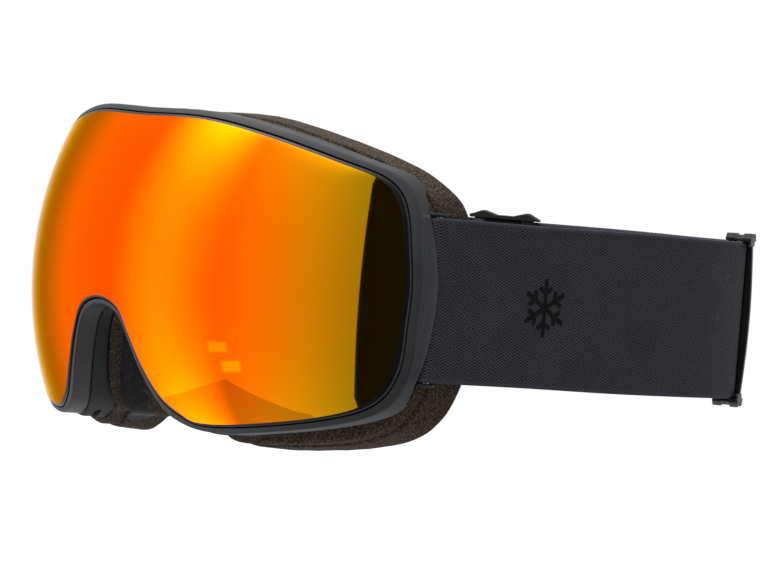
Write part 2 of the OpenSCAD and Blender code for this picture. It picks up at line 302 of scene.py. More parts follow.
def prism(polygon, axis, start, end, width=0.4, segments=3):
    """A polygon of the two other axes pushed from start to end along the axis, with rounded edges."""
    bm = bmesh.new()
    others = [k for k in range(3) if k != axis]
    rows = []
    for at in (start, end):
        row = []
        for p in polygon:
            co = [0.0, 0.0, 0.0]
            co[axis] = at
            co[others[0]], co[others[1]] = p
            row.append(bm.verts.new(co))
        rows.append(row)
    count = len(polygon)
    bm.faces.new(rows[0])
    bm.faces.new(rows[1][::-1])
    for i in range(count):
        j = (i + 1) % count
        bm.faces.new((rows[0][j], rows[0][i], rows[1][i], rows[1][j]))
    bmesh.ops.recalc_face_normals(bm, faces=bm.faces)
    return bevelled(bm, width, segments, 40)


def sweep(path, out, section, closed=False):
    """A section of (outward, z) points carried along a level path. Gives points, faces and (length, z) pairs."""
    path, out, section = np.array(path), np.array(out), np.array(section)
    n, m = len(path), len(section)
    steps = np.linalg.norm(np.diff(path, axis=0), axis=1)
    run = np.concatenate([[0], np.cumsum(steps)])
    verts = np.zeros((n, m, 3))
    verts[:, :, 0] = path[:, None, 0] + out[:, None, 0] * section[None, :, 0]
    verts[:, :, 1] = path[:, None, 1] + out[:, None, 1] * section[None, :, 0]
    verts[:, :, 2] = section[None, :, 1]
    faces = []
    for k in range(n if closed else n - 1):
        for i in range(m):
            j, nxt = (i + 1) % m, (k + 1) % n
            faces.append((k * m + i, k * m + j, nxt * m + j, nxt * m + i))
    if not closed:
        faces.append(tuple(range(m - 1, -1, -1)))
        faces.append(tuple((n - 1) * m + i for i in range(m)))
    uv = np.stack([np.repeat(run, m), np.tile(section[:, 1], n)], 1)
    return verts.reshape(-1, 3), faces, uv


# ---------------------------------------------------------------- materials

class Graph:
    """A material's node tree, with short calls for the nodes used here."""

    def __init__(self, name):
        self.material = bpy.data.materials.new(name)
        self.material.use_nodes = True
        self.tree = self.material.node_tree
        self.shader = self.tree.nodes["Principled BSDF"]
        self.coords = self.tree.nodes.new("ShaderNodeTexCoord")

    def node(self, kind, inputs=(), **settings):
        made = self.tree.nodes.new(kind)
        for key, value in settings.items():
            setattr(made, key, value)
        for key, value in dict(inputs).items():
            self.put(made.inputs[key], value)
        return made

    def put(self, socket, value):
        if isinstance(value, bpy.types.NodeSocket):
            self.tree.links.new(value, socket)
        else:
            socket.default_value = value

    def set(self, **values):
        for key, value in values.items():
            self.put(self.shader.inputs[key.replace("_", " ")], value)

    def math(self, operation, a, b=0.0):
        return self.node("ShaderNodeMath", {0: a, 1: b}, operation=operation).outputs[0]

    def noise(self, scale, detail=3.0, roughness=0.55, vector=None):
        source = vector if vector is not None else self.coords.outputs["Object"]
        made = self.node("ShaderNodeTexNoise", {
            "Vector": source, "Scale": scale, "Detail": detail, "Roughness": roughness})
        return made.outputs["Fac"]

    def cells(self, scale, randomness=1.0, vector=None, feature="F1", smooth=None):
        source = vector if vector is not None else self.coords.outputs["Object"]
        made = self.node("ShaderNodeTexVoronoi", {
            "Vector": source, "Scale": scale, "Randomness": randomness}, feature=feature)
        return made.outputs["Distance"]

    def ramp(self, value, stops, interpolation="LINEAR"):
        made = self.node("ShaderNodeValToRGB", {"Fac": value})
        ramp = made.color_ramp
        ramp.interpolation = interpolation
        while len(ramp.elements) < len(stops):
            ramp.elements.new(0.5)
        for element, (at, colour) in zip(ramp.elements, stops):
            element.position = at
            element.color = (*colour, 1.0) if len(colour) == 3 else colour
        return made.outputs["Color"]

    def mix(self, factor, a, b, blend="MIX"):
        made = self.node("ShaderNodeMix", {}, data_type="RGBA", blend_type=blend)
        self.put(made.inputs["Factor"], factor)
        self.put(made.inputs[6], a if isinstance(a, bpy.types.NodeSocket) else (*a, 1.0))
        self.put(made.inputs[7], b if isinstance(b, bpy.types.NodeSocket) else (*b, 1.0))
        return made.outputs[2]

    def bump(self, height, distance, strength=1.0, normal=None):
        inputs = {"Height": height, "Distance": distance, "Strength": strength}
        if normal is not None:
            inputs["Normal"] = normal
        return self.node("ShaderNodeBump", inputs).outputs["Normal"]


def grey(v):
    return (v, v, v)


def mirror_material():
    """Red mirror coat whose base colour turns gold towards the lens's edge: a painted reflection standing in for the
    gold the coat shows at grazing view.
    """
    g = Graph("mirror_lens")
    flat = g.node("ShaderNodeVectorMath", {0: g.coords.outputs["Object"], 1: (1.0, 0.0, 1.0)},
                  operation="MULTIPLY").outputs[0]
    away = g.node("ShaderNodeVectorMath", {0: flat}, operation="LENGTH").outputs["Value"]
    drift = g.noise(11.0, 2.0)
    tone = g.math("ADD", g.math("DIVIDE", away, LENS[0] * MM),
                  g.math("MULTIPLY", g.math("SUBTRACT", drift, 0.5), 0.08))
    # Painted reflection: the gold towards the edge is put into the base colour in place of the gold the coat reflects
    # at grazing view.
    colour = g.ramp(tone, [
        (0.0, (1.0, 0.084, 0.0)), (0.45, (1.0, 0.09, 0.0)), (0.57, (1.0, 0.12, 0.0)),
        (0.65, (1.0, 0.155, 0.0)), (0.73, (0.99, 0.21, 0.0)), (0.79, (0.97, 0.29, 0.001)),
        (0.86, (0.95, 0.37, 0.002)), (0.92, (0.92, 0.45, 0.004)), (1.0, (0.85, 0.52, 0.008)),
    ])
    g.set(Base_Color=colour, Metallic=1.0, Roughness=0.03, Specular_Tint=(1.0, 0.9, 0.2, 1.0))
    ripple = g.noise(26.0, 1.0)
    g.set(Normal=g.bump(ripple, 0.00004, 0.25))
    return g.material


def lens_back_material():
    """The outer lens's own rose-amber tint, seen from inside."""
    g = Graph("lens_tint")
    drift = g.noise(14.0, 2.0)
    colour = g.mix(drift, (0.16, 0.035, 0.012), (0.24, 0.06, 0.018))
    g.set(Base_Color=colour, Roughness=0.06, Coat_Weight=0.6, Coat_Roughness=0.03)
    return g.material


def clear_material():
    """Clear acetate with an anti-fog coat: nearly invisible but for its gloss."""
    g = Graph("inner_lens")
    haze = g.noise(40.0, 3.0)
    g.set(Base_Color=(0.85, 0.8, 0.66, 1.0), Roughness=g.math("ADD", g.math("MULTIPLY", haze, 0.05), 0.04),
          Alpha=0.22, Specular_IOR_Level=0.6)
    g.material.blend_method = "BLEND"
    return g.material


def plastic_material(name, dark, light, roughness, grain, depth, coat=0.0):
    """Moulded plastic: fine spark grain, faint cloudy tone and a rubbed sheen that varies."""
    g = Graph(name)
    cloud = g.noise(60.0, 4.0)
    speck = g.noise(2600.0, 2.0)
    tone = g.math("ADD", g.math("MULTIPLY", cloud, 0.65), g.math("MULTIPLY", speck, 0.35))
    colour = g.ramp(tone, [(0.3, dark), (0.7, light)])
    rub = g.noise(150.0, 3.0)
    rough = g.math("ADD", g.math("MULTIPLY", rub, 0.16), roughness - 0.08)
    grain_height = g.cells(grain, 1.0)
    g.set(Base_Color=colour, Roughness=rough, Normal=g.bump(grain_height, depth, 0.55),
          Specular_IOR_Level=0.32, Coat_Weight=coat, Coat_Roughness=0.25)
    return g.material


def foam_material(name, dark, mid, light, pore=1500.0, depth=0.00035):
    """Open-cell foam: pores of two sizes, with painted shade in the pores and painted light on the struts between
    them, and slow colour drift.
    """
    g = Graph(name)
    big = g.cells(pore)
    small = g.cells(pore * 2.1)
    pores_and_pore_shade = g.math("ADD", g.math("MULTIPLY", big, 0.6), g.math("MULTIPLY", small, 0.4))
    drift = g.noise(90.0, 3.0)
    # Painted shade and light: the ramp's darkest colour is painted shade in the pores, its lightest painted light on
    # the struts.
    base = g.ramp(pores_and_pore_shade, [(0.12, light), (0.34, mid), (0.62, dark)])
    colour = g.mix(g.math("MULTIPLY", drift, 0.45), base, mid)
    g.set(Base_Color=colour, Roughness=0.95, Sheen_Weight=0.08, Sheen_Roughness=0.5,
          Specular_IOR_Level=0.12, Normal=g.bump(pores_and_pore_shade, depth, 0.8))
    return g.material


def fleece_material():
    """Short-piled black fleece: matted tufts and a soft sheen."""
    g = Graph("fleece")
    pile = g.noise(1700.0, 4.0, 0.7)
    tuft = g.noise(420.0, 2.0)
    both = g.math("ADD", g.math("MULTIPLY", pile, 0.6), g.math("MULTIPLY", tuft, 0.4))
    colour = g.ramp(both, [(0.35, (0.006, 0.006, 0.007)), (0.55, (0.014, 0.013, 0.014)),
                           (0.72, (0.04, 0.036, 0.034))])
    g.set(Base_Color=colour, Roughness=0.97, Sheen_Weight=0.35, Sheen_Roughness=0.45,
          Specular_IOR_Level=0.15, Normal=g.bump(both, 0.0005, 0.8))
    return g.material


KNIT_ALONG = 0.00178
KNIT_ACROSS = 0.00089


def strap_material():
    """Charcoal knitted elastic: staggered rows of dark stitches, slow tone drift, fuzz and plain selvedges."""
    g = Graph("strap_elastic")
    uv = g.node("ShaderNodeUVMap", uv_map="weave").outputs["UV"]
    wander = g.node("ShaderNodeTexNoise", {"Vector": uv, "Scale": 420.0, "Detail": 2.0})
    shift = g.node("ShaderNodeVectorMath", {0: wander.outputs["Color"], 1: (0.0012, 0.0007, 0.0)},
                   operation="MULTIPLY").outputs[0]
    moved = g.node("ShaderNodeVectorMath", {0: uv, 1: shift}, operation="ADD").outputs[0]
    split = g.node("ShaderNodeSeparateXYZ", {"Vector": moved})
    along = g.math("COSINE", g.math("MULTIPLY", split.outputs["X"], 2 * math.pi / KNIT_ALONG))
    over = g.math("COSINE", g.math("MULTIPLY", split.outputs["Y"], 2 * math.pi / KNIT_ACROSS))
    knit = g.math("ADD", g.math("MULTIPLY", g.math("MULTIPLY", along, over), 0.5), 0.5)
    across = g.node("ShaderNodeSeparateXYZ", {"Vector": uv}).outputs["Y"]
    edge = g.math("GREATER_THAN", g.math("ABSOLUTE", across), (STRAP_H - 1.15) * MM)
    dots = g.ramp(knit, [(0.22, grey(0.0)), (0.62, grey(1.0))])
    dotted = g.mix(edge, dots, grey(0.75))
    tone = g.noise(55.0, 3.0, 0.6, uv)
    ground = g.ramp(tone, [(0.3, (0.051, 0.052, 0.065)), (0.7, (0.066, 0.067, 0.083))])
    colour = g.mix(dotted, (0.010, 0.0103, 0.013), ground)
    fuzz = g.noise(5200.0, 2.0, 0.6, uv)
    colour = g.mix(g.math("MULTIPLY", fuzz, 0.16), colour, (0.07, 0.072, 0.082))
    g.set(Base_Color=colour, Roughness=0.9, Sheen_Weight=0.06, Sheen_Roughness=0.4,
          Specular_IOR_Level=0.12, Normal=g.bump(dotted, 0.0003, 0.9))
    return g.material


def thread_material():
    g = Graph("thread")
    ply = g.noise(3800.0, 2.0)
    colour = g.mix(ply, (0.02, 0.02, 0.024), (0.075, 0.075, 0.085))
    g.set(Base_Color=colour, Roughness=0.7, Sheen_Weight=0.3, Normal=g.bump(ply, 0.0001, 0.6))
    return g.material


def metal_material(name, colour, roughness, scale):
    """Bright metal with drawn streaks and slight tarnish."""
    g = Graph(name)
    streak_space = g.node("ShaderNodeMapping", {
        "Vector": g.coords.outputs["Object"], "Scale": (1.0, 1.0, 0.08)}).outputs["Vector"]
    streak = g.noise(scale, 4.0, 0.6, streak_space)
    tarnish = g.noise(180.0, 3.0)
    shade = g.mix(tarnish, tuple(c * 0.72 for c in colour), colour)
    g.set(Base_Color=shade, Metallic=1.0,
          Roughness=g.math("ADD", g.math("MULTIPLY", streak, 0.22), roughness - 0.11),
          Normal=g.bump(streak, 0.00004, 0.4))
    return g.material


def silicone_material():
    g = Graph("silicone")
    dimple = g.noise(900.0, 2.0)
    colour = g.mix(dimple, (0.05, 0.054, 0.06), (0.1, 0.105, 0.115))
    g.set(Base_Color=colour, Roughness=0.32, Coat_Weight=0.3, Coat_Roughness=0.15,
          Normal=g.bump(dimple, 0.00008, 0.5))
    return g.material


def print_material():
    """Flat black transfer print, with the weave showing through."""
    g = Graph("emblem_print")
    weave = g.cells(1150.0, 0.5)
    colour = g.mix(weave, (0.0035, 0.0035, 0.004), (0.009, 0.009, 0.01))
    g.set(Base_Color=colour, Roughness=0.75, Specular_IOR_Level=0.08, Normal=g.bump(weave, 0.00018, 0.6))
    return g.material


MIRROR = mirror_material()
LENS_BACK = lens_back_material()
CLEAR = clear_material()
LENS_EDGE = plastic_material("lens_edge", grey(0.004), (0.009, 0.009, 0.009), 0.3, 1500.0, 0.00003, 0.2)
# In each foam finish the first colour is painted pore shade and the last is painted light on the struts; the middle
# one is the foam's own colour.
LENS_FOAM = foam_material("lens_foam", (0.006, 0.006, 0.006), (0.014, 0.014, 0.014), (0.03, 0.03, 0.03))
CARRIER = plastic_material("carrier_plastic", grey(0.012), (0.022, 0.022, 0.024), 0.3, 1500.0, 0.00004, 0.3)
SEAT = plastic_material("seat_plastic", (0.026, 0.0275, 0.031), (0.038, 0.040, 0.044), 0.5, 3300.0, 0.00008)
TPU = plastic_material("frame_tpu", (0.010, 0.0105, 0.0115), (0.018, 0.0185, 0.020), 0.66, 2600.0, 0.00010)
# These foams also carry painted pore shade in their first colour and painted strut light in their last.
VENT = foam_material("vent_foam", grey(0.003), grey(0.009), grey(0.022), 1000.0)
FOAM = foam_material("face_foam", (0.014, 0.009, 0.006), (0.096, 0.070, 0.050), (0.29, 0.225, 0.170))
FLEECE = fleece_material()
ELASTIC = strap_material()
THREAD = thread_material()
ACETAL = plastic_material("slider_plastic", grey(0.006), (0.013, 0.013, 0.014), 0.6, 2200.0, 0.00005)
SILICONE = silicone_material()
PRINT = print_material()
STEEL = metal_material("bar_steel", (0.46, 0.46, 0.47), 0.34, 900.0)
NICKEL = metal_material("magnet", (0.60, 0.60, 0.61), 0.26, 400.0)


def dress(node, material):
    """Gives a CAD node, whose shape stays, its finish."""
    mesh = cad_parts[node].data
    mesh.materials.clear()
    mesh.materials.append(material)


for cad_node, finish in (("lens_magnets", NICKEL), ("frame_magnets", NICKEL),
                         ("strap_bar_right", STEEL), ("strap_bar_left", STEEL), ("strap_emblem", PRINT)):
    dress(cad_node, finish)


# ---------------------------------------------------------------- lens

def lens_sheet(name, grow, front, back, edge_r, material, node, others=()):
    """A spherical sheet with a rounded edge: rings from the star point out, round the edge and back in."""
    centre = np.array([0.0, STAR_Z])
    shares = np.linspace(0, 1, 34)[1:] ** 0.9
    rim = outline(LENS, grow - edge_r)
    loops = []
    for share in shares:
        p = centre + (rim - centre) * share
        loops.append(loop(p, lens_y(p, front)))
    thick = back - front
    for inset, down in ((0.55, 0.04), (0.25, 0.13), (0.07, 0.3), (0.0, 0.55)):
        loops.append(lens_loop(grow - edge_r * inset, front + min(down * edge_r * 1.6, thick * 0.45)))
    for inset, up in ((0.0, 0.5), (0.15, 0.2), (0.6, 0.0)):
        loops.append(lens_loop(grow - edge_r * inset, back - min(up * edge_r, thick * 0.45)))
    for share in shares[::-1]:
        p = centre + (rim - centre) * share
        loops.append(loop(p, lens_y(p, back)))
    verts, faces = skin(loops, closed=False)
    n = len(rim)
    at = np.array([centre])
    verts = np.concatenate([verts, loop(at, lens_y(at, front)), loop(at, lens_y(at, back))])
    top, bottom = len(verts) - 2, len(verts) - 1
    last = (len(loops) - 1) * n
    faces += [(top, (i + 1) % n, i) for i in range(n)]
    faces += [(bottom, last + i, last + (i + 1) % n) for i in range(n)]
    materials = [material, *others]
    obj = finish_piece(name, verts, faces, "lens", materials, [node])
    mesh = obj.data
    rows = np.repeat(np.arange(len(loops)), n)
    if others:
        coated = len(shares) * n
        index = []
        for p in mesh.polygons:
            corners = [i for i in p.vertices if i != top]
            index.append(0 if max(corners) < coated else 1 if min(corners) >= last - len(shares) * n else 2)
        mesh.polygons.foreach_set("material_index", index)
    normals = np.zeros((len(verts), 3))
    ball = np.array([0.0, BALL_Y, 0.0])
    smooth_rows = (rows < len(shares) - 1)
    normals[:len(rows)][smooth_rows] = unit(verts[:len(rows)][smooth_rows] - ball)
    normals[top] = unit(verts[top] - ball)
    base = np.array([v.normal for v in mesh.vertices])
    empty = np.linalg.norm(normals, axis=1) < 0.5
    normals[empty] = base[empty]
    mesh.normals_split_custom_set_from_vertices(normals.tolist())
    return obj


lens_sheet("outer_lens_mirror", 0.0, 0.0, OUTER_BACK, 0.7, MIRROR, "outer_lens",
           (LENS_BACK, LENS_EDGE))
lens_sheet("inner_lens_clear", -1.0, SPACER_BACK, INNER_BACK, 0.35, CLEAR, "inner_lens")


def lens_ring(name, section, radii, body, material, node):
    """A ring on the lens's spheres. Its section is a list of (growth, depth) corners."""
    verts, faces = skin(rounded([lens_loop(grow, depth) for grow, depth in section], radii))
    return finish_piece(name, verts, faces, body, material, [node])


lens_ring("lens_spacer_tape", [(-1, OUTER_BACK), (-5, OUTER_BACK), (-5, SPACER_BACK), (-1, SPACER_BACK)],
          [0.25] * 4, "lens", LENS_FOAM, "lens_spacer")
lens_ring("lens_carrier_rim",
          [(-0.5, INNER_BACK), (-RIM_INSET, INNER_BACK), (-RIM_INSET, CARRIER_BACK), (-0.5, CARRIER_BACK)],
          [0.2, 0.3, 0.6, 0.5], "lens", CARRIER, "lens_carrier")


# ---------------------------------------------------------------- seat, frame and temples

STRAP_ROOM = 12.7
TEMPLE_Z = 30.0


def room_for_strap(ring):
    """Keeps a ring's rear side in front of the strap's fold, as the CAD cut does."""
    out = ring.copy()
    near = 1 - smoothstep(TEMPLE_Z, TEMPLE_Z + 3, np.abs(out[:, 2]))
    near = near * smoothstep(80, 83, np.abs(out[:, 0]))
    limit = np.minimum(out[:, 1], STRAP_ROOM)
    out[:, 1] = out[:, 1] * (1 - near) + limit * near
    return out


def seat():
    corners = [lens_loop(LIP_OUT, LIP_FRONT), lens_loop(LIP_IN, LIP_FRONT), lens_loop(LIP_IN, SEAT_FRONT),
               lens_loop(-RIM_INSET, SEAT_FRONT), lens_loop(-RIM_INSET, SEAT_BACK), lens_loop(LIP_OUT, SEAT_BACK)]
    corners[4] = room_for_strap(corners[4])
    corners[5] = room_for_strap(corners[5])
    verts, faces = skin(rounded(corners, [0.75, 0.3, 0.3, 0.4, 0.5, 0.7]))
    finish_piece("lens_seat_rim", verts, faces, "goggles", SEAT, ["lens_seat"])


seat()


def vent_cutters():
    """The CAD's vent slots: middle, turn about Z in degrees."""
    places = []
    for x in (-42.5, -25.5, -8.5, 8.5, 25.5, 42.5):
        places.append((x, FRAME[1]))
    for x in (-49.5, -32.5, 32.5, 49.5):
        places.append((x, -FRAME[2]))
    cutters = []
    for x, z in places:
        front = BALL_Y + SEAT_BACK - math.sqrt(LENS_R ** 2 - x * x - z * z)
        back = SEAL_FRONT[1] - FLANGE_T + SEAL_FRONT[0] - math.sqrt(SEAL_FRONT[0] ** 2 - x * x)
        cutters.append((x, (front + back) / 2, z, math.asin(x / SEAL_FRONT[0])))
    return cutters


def rounded_slot(length, height, depth):
    """An upright cutter with half-round ends."""
    r = height / 2
    points = []
    for k in range(9):
        a = -math.pi / 2 + math.pi * k / 8
        points.append((length / 2 - r + r * math.cos(a), r * math.sin(a)))
    for k in range(9):
        a = math.pi / 2 + math.pi * k / 8
        points.append((-length / 2 + r + r * math.cos(a), r * math.sin(a)))
    n = len(points)
    verts = [(x, y, -depth / 2) for x, y in points] + [(x, y, depth / 2) for x, y in points]
    faces = [tuple(range(n - 1, -1, -1)), tuple(range(n, 2 * n))]
    faces += [(i, (i + 1) % n, n + (i + 1) % n, n + i) for i in range(n)]
    return np.array(verts, float), faces


def soft_frame():
    def on_lens_back(grow):
        return room_for_strap(lens_loop(grow, SEAT_BACK, FRAME))

    front = (SEAL_FRONT[0], SEAL_FRONT[1] - FLANGE_T)
    corners = [on_lens_back(0), on_lens_back(-WALL_T), seal_loop(FRAME, -WALL_T, front),
               seal_loop(FRAME, -FLANGE_W, front), seal_loop(FRAME, -FLANGE_W, SEAL_FRONT),
               seal_loop(FRAME, 0, SEAL_FRONT)]
    verts, faces = skin(rounded(corners, [0.4, 0.4, 0.8, 0.7, 0.4, 0.8]))
    obj = finish_piece("frame_body", verts, faces, "goggles", TPU, ["frame"])
    parts = []
    for x, y, z, turn in vent_cutters():
        v, f = rounded_slot(12.0, 2.2, 20.0)
        c, s = math.cos(turn), math.sin(turn)
        v = np.stack([v[:, 0] * c - v[:, 1] * s + x, v[:, 0] * s + v[:, 1] * c + y, v[:, 2] + z], 1)
        parts.append((v, f))
    cutter_mesh = bpy.data.meshes.new("cutters")
    v, f = joined(parts)
    cutter_mesh.from_pydata((v * MM).tolist(), [], f)
    bm = bmesh.new()
    bm.from_mesh(cutter_mesh)
    bmesh.ops.recalc_face_normals(bm, faces=bm.faces)
    bm.to_mesh(cutter_mesh)
    bm.free()
    cutter = bpy.data.objects.new("cutters", cutter_mesh)
    bpy.context.scene.collection.objects.link(cutter)
    modifier = obj.modifiers.new("vents", "BOOLEAN")
    modifier.operation = "DIFFERENCE"
    modifier.solver = "EXACT"
    modifier.object = cutter
    bpy.context.view_layer.update()
    cut = bpy.data.meshes.new_from_object(obj.evaluated_get(bpy.context.evaluated_depsgraph_get()))
    obj.modifiers.clear()
    obj.data = cut
    cut.shade_smooth()
    cut.set_sharp_from_angle(angle=math.radians(35))
    bpy.data.objects.remove(cutter)
    return obj


soft_frame()


def vent_strip(name, keep, node):
    """Filter foam behind the slots, on the stretch of the frame's wall that keep picks."""
    front = (SEAL_FRONT[0], SEAL_FRONT[1] - FLANGE_T)
    corners = [lens_loop(-WALL_T + 0.1, SEAT_BACK, FRAME), lens_loop(-WALL_T - 1.5, SEAT_BACK, FRAME),
               seal_loop(FRAME, -WALL_T - 1.5, front), seal_loop(FRAME, -WALL_T + 0.1, front)]
    loops = rounded(corners, [0.1, 0.4, 0.4, 0.1], 2)
    runs, run = [], []
    points = outline(FRAME)
    count = len(points)
    chosen = [keep(x, z) for x, z in points]
    start = next(i for i in range(count) if chosen[i] and not chosen[i - 1])
    for step in range(count + 1):
        i = (start + step) % count
        if chosen[i] and step < count:
            run.append(i)
        elif run:
            runs.append(run)
            run = []
    parts = []
    for run in runs:
        rows = [np.array([ring[i] for ring in loops]) for i in run]
        v, f = skin(rows, closed=False)
        m = len(loops)
        f += [tuple(range(m - 1, -1, -1)), tuple(len(v) - m + k for k in range(m))]
        parts.append((v, f))
    v, f = joined(parts)
    finish_piece(name, v, f, "goggles", VENT, [node])


vent_strip("vent_foam_top_strip", lambda x, z: z > 24 and abs(x) < 56, "vent_foam_top")
vent_strip("vent_foam_low_strip", lambda x, z: z < -24 and 28 < abs(x) < 56, "vent_foam_bottom")


def seat_side_x(z):
    """Half width of the seat's outer wall at the height z."""
    points = outline(LENS, LIP_OUT)
    side = points[(points[:, 0] > 70) & (np.abs(points[:, 1]) < 36)]
    order = np.argsort(side[:, 1])
    return np.interp(z, side[order, 1], side[order, 0])


COVER_T = 0.62
COVER_OUT = 0.3


def temple_cover():
    """Thin wall that carries the seat's side back over the strap's fold, with a bowed rear edge."""
    heights = np.linspace(-24.5, 24.5, 41)
    side = seat_side_x(heights)
    front = BALL_Y + LIP_FRONT + 1.1 - np.sqrt(LENS_R ** 2 - side ** 2 - heights ** 2)
    rear = 14.6 - 2.0 * (np.abs(heights - 1) / 23) ** 2
    shares = np.linspace(0, 1, 15)
    rows = []

    def row(share, inward, back=0.0):
        x = side + COVER_OUT * smoothstep(0.0, 0.8, share) + 0.02 - inward
        rows.append(np.stack([x, front + (rear - front) * share + back, heights], 1))

    for share in shares:
        row(share, 0.0)
    for inward, back in ((0.12, 0.2), (0.3, 0.24), (COVER_T - 0.1, 0.1)):
        row(1.0, inward, back)
    for share in shares[::-1]:
        row(share, COVER_T)
    verts, faces = skin(rows)
    n = len(heights)
    faces = [f for f in faces if not (max(i % n for i in f) - min(i % n for i in f) > 1)]
    faces.append(tuple(k * n for k in range(len(rows))))
    faces.append(tuple(k * n + n - 1 for k in range(len(rows) - 1, -1, -1)))
    return verts, faces


def outrigger_parts():
    """Inner plate and two arms that hold the strap's bar."""
    z_in = STRAP_H + 0.3
    z_out = STRAP_H + 1.3
    plate = block((82.3, 12.9, -z_out), (83.5, 23.6, z_out), 0.5)
    arm = [(82.4, 12.9), (87.6, 12.9), (88.8, 14.5), (88.8, 17.2), (87.6, 18.6), (84.5, 20.4), (82.4, 21.5)]
    arms = [prism(arm, 2, side * z_in, side * z_out, 0.4) for side in (-1, 1)]
    return [plate, *arms]


for side_name, flip in (("right", False), ("left", True)):
    v, f = joined(outrigger_parts())
    v = mirrored(v) if flip else v
    finish_piece(f"outrigger_{side_name}_channel", v, f, "goggles", TPU,
                 [f"outrigger_{side_name}"])
    v, f = temple_cover()
    v = mirrored(v) if flip else v
    finish_piece(f"temple_cover_{side_name}", v, f, "goggles", SEAT)


# ---------------------------------------------------------------- face seal

ARCH = smoothstep(12.0, 12.9, place_on_outline())
NOSE_FLAP = 5.5


def arch_flap():
    """How far the fleece-covered nose wings stand back from the face cylinder."""
    place = place_on_outline()
    return NOSE_FLAP * smoothstep(10.6, 13.0, place) * (1 - 0.6 * smoothstep(15, 18, place))


def shifted(ring, dy):
    out = ring.copy()
    out[:, 1] += dy
    return out


def edge_or_arch(edge, arch):
    """The seal's outline on the face, grown by one amount round the outside and by another in the nose arch."""
    share = ARCH[:, None]
    return seal_loop(SEAL, edge, FACE) * (1 - share) + seal_loop(SEAL, arch, FACE) * share


def base_foam():
    corners = [seal_loop(SEAL, -0.6, SEAL_FRONT, 0.02), seal_loop(SEAL, -BAND + 0.6, SEAL_FRONT, 0.02),
               seal_loop(SEAL, -BAND + 0.6, FOAM_JOINT), seal_loop(SEAL, -0.6, FOAM_JOINT)]
    verts, faces = skin(rounded(corners, [1.3, 1.0, 0.5, 0.5], 4))
    obj = finish_piece("base_foam_pad", roughen(verts, 3.0, 0.12), faces, "goggles", FOAM,
                       ["base_foam"])


def face_foam():
    flap = arch_flap()
    corners = [seal_loop(SEAL, 0.1, FOAM_JOINT), seal_loop(SEAL, -BAND - 0.1, FOAM_JOINT),
               shifted(seal_loop(SEAL, -BAND - 0.1, FLEECE_JOINT), flap),
               shifted(seal_loop(SEAL, 0.7, FLEECE_JOINT), flap)]
    verts, faces = skin(rounded(corners, [0.7, 0.7, 3.4, 1.4], 5))
    obj = finish_piece("face_foam_pad", roughen(verts, 3.5, 0.14), faces, "goggles", FOAM,
                       ["face_foam"])


def fleece_skin():
    """Fleece over the foam's face side. It turns over the edges, and lines the nose arch further forward."""
    flap = arch_flap()
    skirt = 0.7 + 8.8 * ARCH
    outer = edge_or_arch(-0.4, 0.42)
    inner = seal_loop(SEAL, -BAND - 0.42, FACE)
    under_outer = shifted(edge_or_arch(-1.1, -0.3), -0.9)
    under_inner = seal_loop(SEAL, -BAND + 0.3, FACE, -0.9)
    corners = [
        shifted(outer, -skirt), shifted(outer, flap), shifted(inner, flap), shifted(inner, -3.2),
        shifted(under_inner, -2.3), shifted(under_inner, flap), shifted(under_outer, flap),
        shifted(under_outer, -skirt + 0.9),
    ]
    verts, faces = skin(rounded(corners, [0.3, 1.9, 3.9, 0.3, 0.2, 3.2, 1.3, 0.2], 5))
    obj = finish_piece("face_fleece_skin", roughen(verts, 4.0, 0.1), faces, "goggles", FLEECE,
                       ["face_fleece"])


base_foam()
face_foam()
fleece_skin()


# ---------------------------------------------------------------- strap

def arc(cx, cy, r, start, end, count):
    """Points and outward directions on an arc, both ends included."""
    a = np.radians(np.linspace(start, end, count))
    out = np.stack([np.cos(a), np.sin(a)], 1)
    return np.array([cx, cy]) + out * r, out


def join_paths(*pieces):
    points, outs = [pieces[0][0]], [pieces[0][1]]
    for p, o in pieces[1:]:
        points.append(p[1:])
        outs.append(o[1:])
    return np.concatenate(points), np.concatenate(outs)


def strap_section(half_t, half_h):
    """Flat webbing with a rolled selvedge along each edge."""
    zs = [0.0, 0.10, 0.35, 0.75, 1.15, 1.45, 3.5, 9.0, 16.0, half_h]
    offs = [0.35, 0.72, 0.98, 1.1, 1.04, 0.94, 0.99, 1.0, 1.0, 1.0]
    face = [(o * half_t, -half_h + z) for z, o in zip(zs, offs)]
    face += [(o, -z) for o, z in face[-2::-1]]
    back = [(-o, z) for o, z in face[::-1]]
    return np.array(face + back)


def strap_band():
    """One length of webbing: fold, side stretch, rear arc, side stretch, fold."""
    fold = arc(BAR_X, BAR_Y, LOOP_GAP / 2, -180, 0, 15)
    side = arc(SIDE_CX, BAR_Y, SIDE_R, 0, SIDE_ANGLE, 34)
    rear = arc(0, REAR_Y, REAR_R, SIDE_ANGLE, 90, 40)
    right, out = join_paths(fold, side, rear)
    left, left_out = right[::-1] * (-1, 1), out[::-1] * (-1, 1)
    path, outs = join_paths((right, out), (left, left_out))
    verts, faces, uv = sweep(path, outs, strap_section(STRAP_T, STRAP_H))
    swell = 0.10 * np.sin(uv[:, 0] / 13.0 + uv[:, 1] / 17.0) * smoothstep(20, 40, verts[:, 1])
    verts[:, 2] += swell
    finish_piece("strap_band", verts, faces, "goggles", ELASTIC,
                 ["strap_side_right", "strap_side_left", "strap_rear"], uv)


strap_band()

# The slider's own frame: outward from the strap's middle, along the strap, and up.
SLIDER = math.radians(SLIDER_ANGLE)
BAR_AT = -3.6
BAR_PITCH = 7.5
RETURN_END = 37.2


def from_slider(verts):
    v = np.asarray(verts, float)
    c, s = math.cos(SLIDER), math.sin(SLIDER)
    x = REAR_R + v[:, 0]
    return np.stack([x * c - v[:, 1] * s, REAR_Y + x * s + v[:, 1] * c, v[:, 2]], 1)


